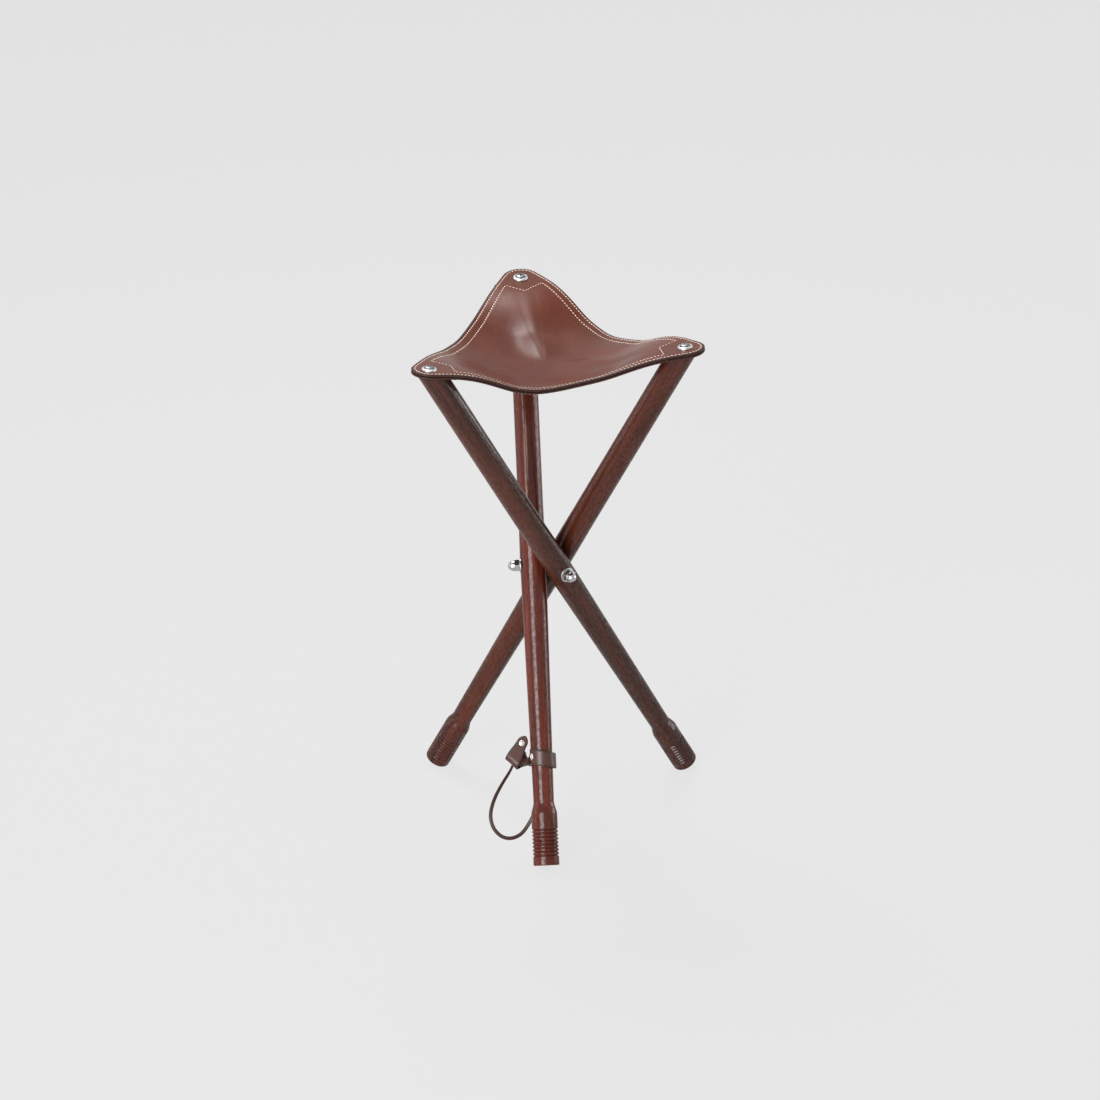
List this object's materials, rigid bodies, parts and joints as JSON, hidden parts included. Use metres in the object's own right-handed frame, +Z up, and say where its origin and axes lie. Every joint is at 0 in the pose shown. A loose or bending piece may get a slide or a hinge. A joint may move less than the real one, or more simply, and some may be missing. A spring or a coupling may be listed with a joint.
{
  "type": "folding tripod stool",
  "caption": "Folding tripod stool: turned wooden legs cross on a three-way bolt and spread a stitched triangular leather seat, with a snap strap on one leg.",
  "frame": {"origin": "on the floor, under the middle of the outline of the stool standing open (the hanging thong left out)", "axes": "+Z up, -Y towards the front foot, the one with the strap; +X to the right as seen from that side"},
  "size_m": [0.3318, 0.3774, 0.6095],
  "materials": {
    "leg": "dark red-brown stain under gloss varnish",
    "seat_leather": "smooth reddish-brown saddle leather, lightly polished",
    "edge_strip": "smooth reddish-brown leather, dark cut edges",
    "corner_patch": "smooth reddish-brown leather, dark cut edges",
    "three_way_bolt": "bright plated steel",
    "pivot_washer": "bright plated steel",
    "cap_nut": "polished plated steel",
    "cup_washer": "polished plated steel",
    "seat_screw": "polished plated steel",
    "closing_strap": "dark brown smooth leather",
    "snap_cap": "bright nickel plate",
    "snap_socket": "bright nickel plate",
    "snap_stud": "bright nickel plate",
    "thong": "dark brown leather"
  },
  "bodies": {
    "hub": {"three_way_bolt": "three_way_bolt", "pivot_washer_a": "pivot_washer", "pivot_washer_b": "pivot_washer", "pivot_washer_c": "pivot_washer", "cap_nut_a": "cap_nut", "cap_nut_b": "cap_nut", "cap_nut_c": "cap_nut", "seat_leather": "seat_leather", "edge_strip_front": "edge_strip", "edge_strip_left": "edge_strip", "edge_strip_right": "edge_strip"},
    "leg_a": {"leg_a": "leg", "corner_patch_a": "corner_patch", "cup_washer_a": "cup_washer", "seat_screw_a": "seat_screw"},
    "leg_b": {"leg_b": "leg", "corner_patch_b": "corner_patch", "cup_washer_b": "cup_washer", "seat_screw_b": "seat_screw", "closing_strap": "closing_strap", "snap_cap": "snap_cap", "snap_socket": "snap_socket", "snap_stud": "snap_stud", "thong": "thong"},
    "leg_c": {"leg_c": "leg", "corner_patch_c": "corner_patch", "cup_washer_c": "cup_washer", "seat_screw_c": "seat_screw"}
  },
  "joints": [
    {"name": "fold_b", "type": "hinge", "parent": "hub", "child": "leg_b", "pos_m": [-0.03163, -0.00323, 0.31122], "axis": [1, 0, 0], "range_deg": [0, 29.6], "deforming": ["seat_leather", "edge_strip_front", "edge_strip_left", "edge_strip_right", "corner_patch_b"]},
    {"name": "fold_a", "type": "hinge", "parent": "hub", "child": "leg_a", "pos_m": [-0.00103, -0.0209, 0.31122], "axis": [-0.5, 0.866, 0], "range_deg": [0, 29.6], "deforming": ["corner_patch_a"]},
    {"name": "fold_c", "type": "hinge", "parent": "hub", "child": "leg_c", "pos_m": [-0.00103, 0.01443, 0.31122], "axis": [-0.5, -0.866, 0], "range_deg": [0, 29.6], "deforming": ["corner_patch_c"]}
  ],
  "couplings": [
    {"joint": "fold_a", "follows": "fold_b", "ratio": 1},
    {"joint": "fold_c", "follows": "fold_b", "ratio": 1}
  ]
}
